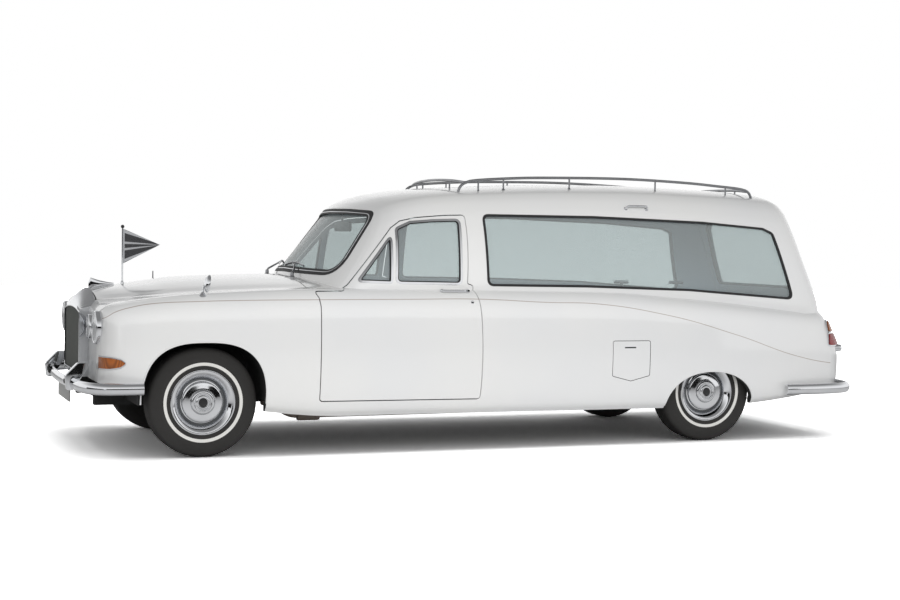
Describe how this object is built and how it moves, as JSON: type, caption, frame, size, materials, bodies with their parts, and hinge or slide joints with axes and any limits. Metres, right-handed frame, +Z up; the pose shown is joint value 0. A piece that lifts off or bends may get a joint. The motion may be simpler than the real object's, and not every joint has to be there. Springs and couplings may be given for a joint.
{
  "type": "hearse",
  "caption": "White limousine hearse with glazed load bay, roof rail, chrome grille and bumpers, and a mourning pennant on its bonnet; doors, bonnet, tailgate, flaps and wheels move.",
  "frame": {"origin": "on the ground, midway along the car's length and on its centre line", "axes": "+X towards the tail, +Y towards the car's right side, +Z up"},
  "size_m": [5.6803, 1.9684, 1.8404],
  "materials": {
    "paint": "gloss white paint",
    "chrome": "polished chrome plate",
    "slats": "dark grey-green satin slats",
    "glass": "clear tinted glass",
    "lamp": "clear fluted lens over a bright reflector",
    "amber": "clear amber lens",
    "red": "clear red lens with an amber top",
    "cloth": "matt black cloth with a pale border",
    "leather": "smooth dark hide",
    "trim": "varnished wood",
    "deck": "dark polished wood",
    "black": "gloss black",
    "chassis": "black paint",
    "wheel": "polished cap and trim ring",
    "tyre": "black rubber with a narrow white line"
  },
  "bodies": {
    "body": {"roof": "paint", "quarter_left": "paint", "quarter_right": "paint", "wing_left": "paint", "wing_right": "paint", "nose": "paint", "tail_panel": "paint", "grille_shell": "chrome", "front_bumper": "chrome", "rear_bumper": "chrome", "roof_rail": "chrome", "mirror_left": "chrome", "grille": "slats", "windscreen": "glass", "side_glass_left": "glass", "side_glass_right": "glass", "headlamp_left": "lamp", "headlamp_right": "lamp", "driving_lamp_left": "lamp", "driving_lamp_right": "lamp", "indicator_left": "amber", "indicator_right": "amber", "tail_lamp_left": "red", "tail_lamp_right": "red", "seat_cushion": "leather", "seat_back": "leather", "dashboard": "trim", "deck": "deck", "steering_wheel": "black", "floor": "chassis", "crossmember": "chassis", "rear_axle": "chassis", "exhaust": "chassis", "engine": "chassis"},
    "bonnet": {"bonnet": "paint", "ornament": "chrome", "flag_mast": "chrome", "pennant": "cloth"},
    "door_left": {"door_left": "paint", "door_glass_left": "glass", "quarter_light_left": "glass"},
    "door_right": {"door_right": "paint", "door_glass_right": "glass", "quarter_light_right": "glass"},
    "tailgate": {"tailgate": "paint", "tailgate_glass": "glass"},
    "flap_left": {"flap_left": "paint"},
    "flap_right": {"flap_right": "paint"},
    "knuckle_left": {"knuckle_left": "chassis"},
    "knuckle_right": {"knuckle_right": "chassis"},
    "wheel_front_left": {"wheel_front_left": "wheel", "tyre_front_left": "tyre"},
    "wheel_front_right": {"wheel_front_right": "wheel", "tyre_front_right": "tyre"},
    "wheel_rear_left": {"wheel_rear_left": "wheel", "tyre_rear_left": "tyre"},
    "wheel_rear_right": {"wheel_rear_right": "wheel", "tyre_rear_right": "tyre"}
  },
  "joints": [
    {"name": "door_left_hinge", "type": "hinge", "parent": "body", "child": "door_left", "pos_m": [-1.2891, -0.978, 1.09], "axis": [0, 0, -1], "range_deg": [0, 62]},
    {"name": "door_right_hinge", "type": "hinge", "parent": "body", "child": "door_right", "pos_m": [-1.2891, 0.978, 1.09], "axis": [0, 0, 1], "range_deg": [0, 62]},
    {"name": "bonnet_hinge", "type": "hinge", "parent": "body", "child": "bonnet", "pos_m": [-1.335, 0, 1.132], "axis": [0, 1, 0], "range_deg": [0, 50]},
    {"name": "tailgate_hinge", "type": "hinge", "parent": "body", "child": "tailgate", "pos_m": [2.323, 0, 1.655], "axis": [0, -1, 0], "range_deg": [0, 80]},
    {"name": "flap_left_hinge", "type": "hinge", "parent": "body", "child": "flap_left", "pos_m": [0.7599, -0.978, 0.6], "axis": [0, 0, -1], "range_deg": [0, 90]},
    {"name": "flap_right_hinge", "type": "hinge", "parent": "body", "child": "flap_right", "pos_m": [0.7599, 0.978, 0.6], "axis": [0, 0, 1], "range_deg": [0, 90]},
    {"name": "steer_left", "type": "hinge", "parent": "body", "child": "knuckle_left", "pos_m": [-2.01, -0.64, 0.345], "axis": [0, 0, 1], "range_deg": [-30, 30]},
    {"name": "steer_right", "type": "hinge", "parent": "body", "child": "knuckle_right", "pos_m": [-2.01, 0.64, 0.345], "axis": [0, 0, 1], "range_deg": [-30, 30]},
    {"name": "wheel_front_left_spin", "type": "hinge", "parent": "knuckle_left", "child": "wheel_front_left", "pos_m": [-2.01, -0.7365, 0.345], "axis": [0, 1, 0], "continuous": true},
    {"name": "wheel_front_right_spin", "type": "hinge", "parent": "knuckle_right", "child": "wheel_front_right", "pos_m": [-2.01, 0.7365, 0.345], "axis": [0, 1, 0], "continuous": true},
    {"name": "wheel_rear_left_spin", "type": "hinge", "parent": "body", "child": "wheel_rear_left", "pos_m": [1.571, -0.7365, 0.345], "axis": [0, 1, 0], "continuous": true},
    {"name": "wheel_rear_right_spin", "type": "hinge", "parent": "body", "child": "wheel_rear_right", "pos_m": [1.571, 0.7365, 0.345], "axis": [0, 1, 0], "continuous": true}
  ],
  "couplings": [
    {"joint": "steer_right", "follows": "steer_left", "ratio": 1}
  ]
}
